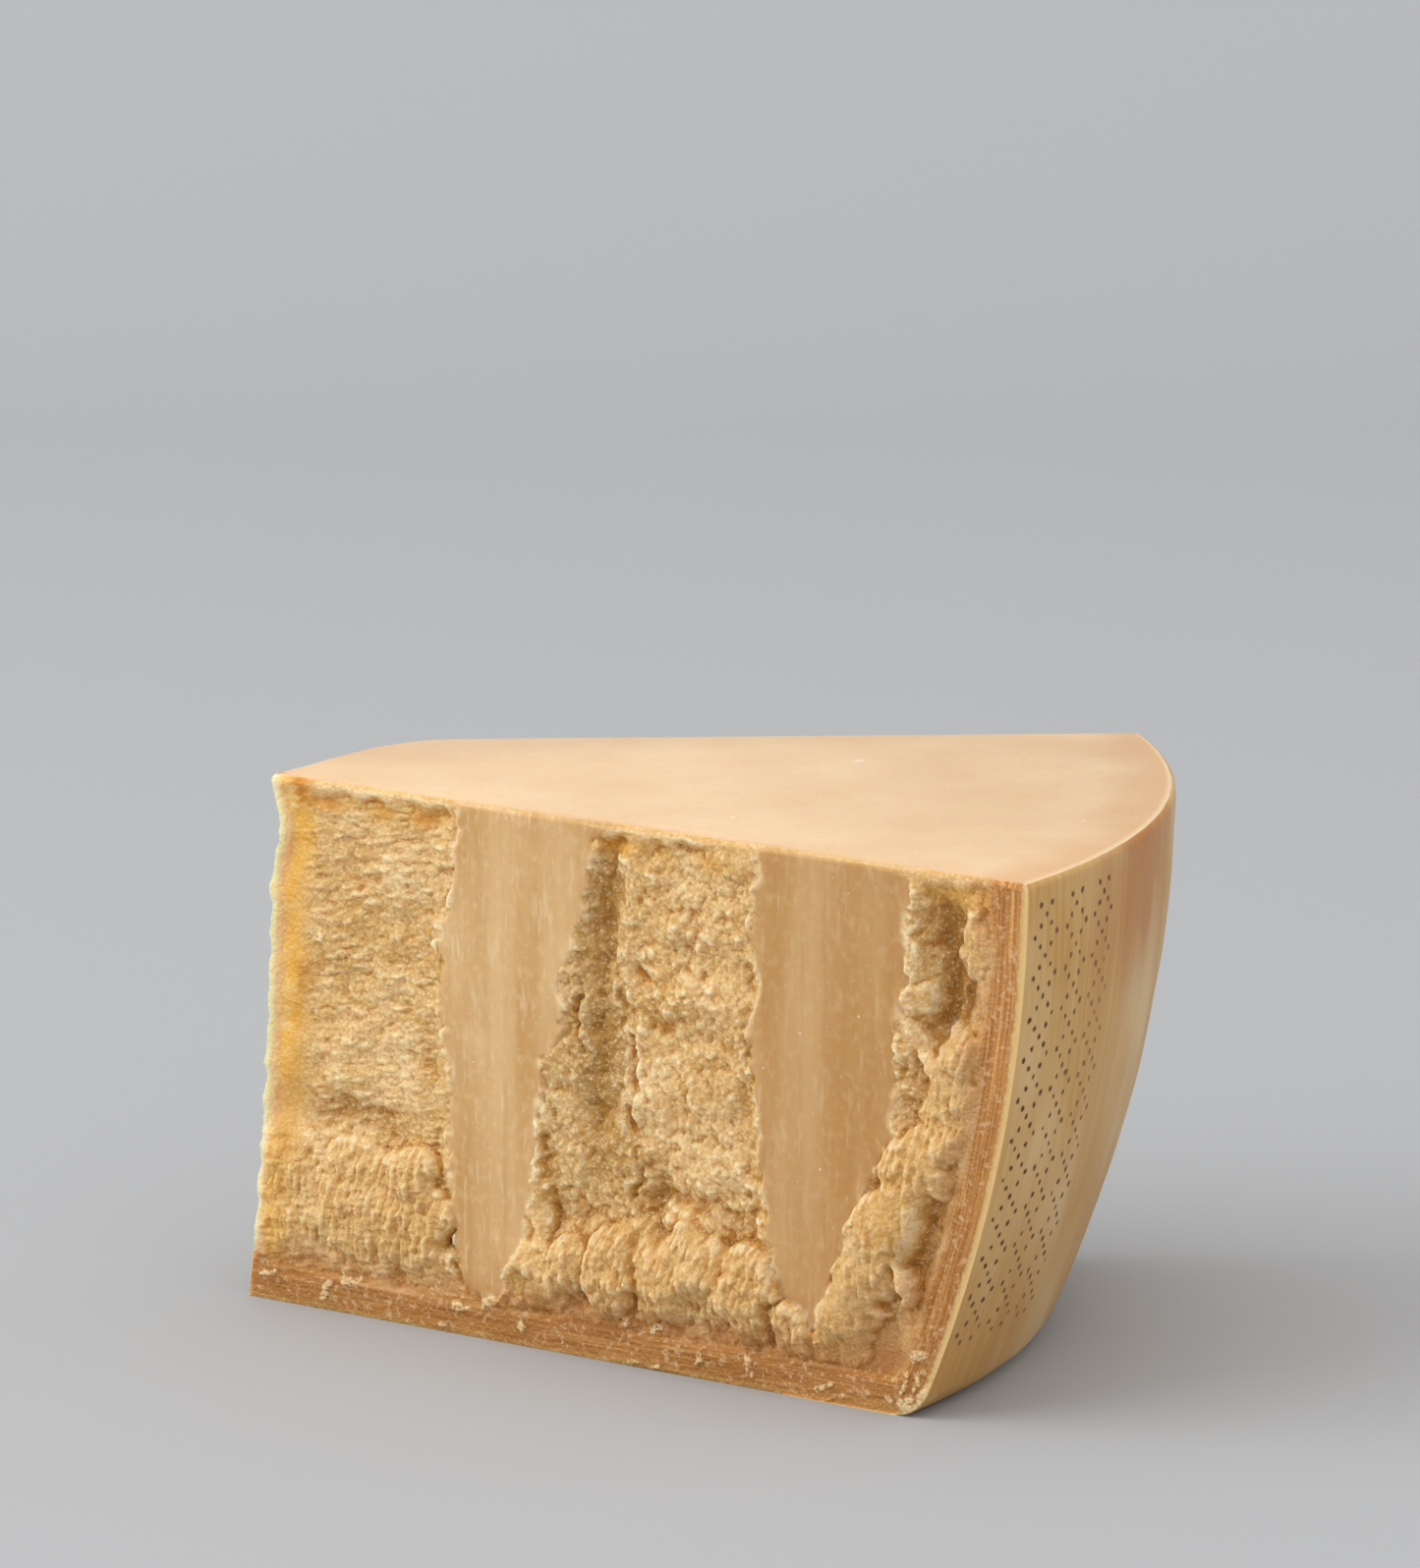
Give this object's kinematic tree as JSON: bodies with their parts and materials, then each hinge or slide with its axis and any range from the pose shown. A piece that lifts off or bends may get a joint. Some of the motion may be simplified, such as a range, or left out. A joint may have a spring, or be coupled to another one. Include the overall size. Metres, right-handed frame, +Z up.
{
  "type": "cheese wedge",
  "caption": "Large wedge of aged hard cheese from a drum-shaped wheel, with a flat knife-cut top, two upright scored and broken faces, and rind on its curved side and base.",
  "frame": {"origin": "middle of the bounding box's footprint, on the plane of the flat base", "axes": "+Z up, from the rind base to the flat top cut; +X from the thin edge, where the wheel's axis was, to the middle of the curved rind; +Y towards the back broken face"},
  "size_m": [0.2132, 0.1678, 0.1244],
  "materials": {
    "aged_cheese": "dense waxy straw-yellow cheese paste, granular where it broke and satin where the knife passed, under a thin hard cream to brown rind"
  },
  "bodies": {
    "root": {"cheese_wedge": "aged_cheese"}
  },
  "joints": []
}
